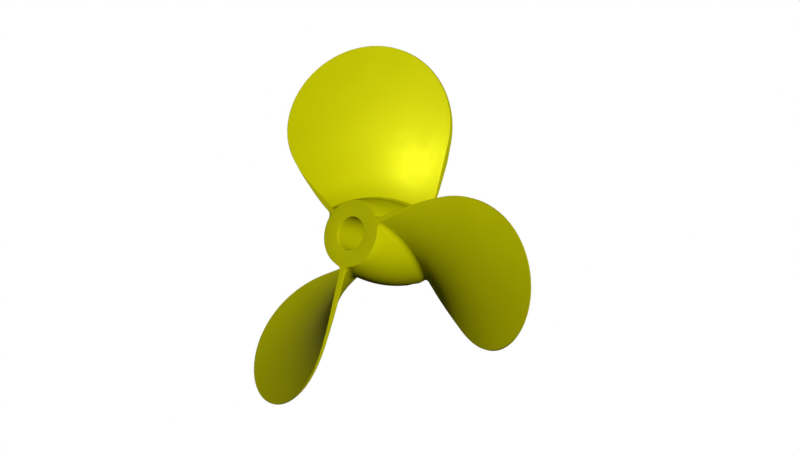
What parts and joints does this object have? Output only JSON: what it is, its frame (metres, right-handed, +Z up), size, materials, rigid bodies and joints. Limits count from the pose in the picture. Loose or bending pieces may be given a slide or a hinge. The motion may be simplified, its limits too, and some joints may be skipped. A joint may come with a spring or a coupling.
{
  "type": "boat propeller",
  "caption": "Right-hand boat propeller with broad round blades welded along helical roots to a barrel hub, with a plain shaft bore and a drive pin slot.",
  "frame": {"origin": "on the shaft axis, halfway along the hub", "axes": "+Y along the shaft towards the boat (forward, the thrust end); -Y aft (the nut end); +Z up; the first blade stands 8 degrees anticlockwise of +Z as seen from aft"},
  "size_m": [0.277, 0.0762, 0.266],
  "materials": {
    "hub_enamel": "satin olive-yellow enamel on turned metal",
    "blade_enamel": "satin olive-yellow enamel on formed plate, softly glossy",
    "weld_enamel": "satin olive-yellow enamel over dressed fillet welds"
  },
  "bodies": {
    "root": {"hub": "hub_enamel", "blade_1": "blade_enamel", "blade_2": "blade_enamel", "blade_3": "blade_enamel", "root_weld_aft_1": "weld_enamel", "root_weld_aft_2": "weld_enamel", "root_weld_aft_3": "weld_enamel", "root_weld_fore_1": "weld_enamel", "root_weld_fore_2": "weld_enamel", "root_weld_fore_3": "weld_enamel"}
  },
  "joints": []
}
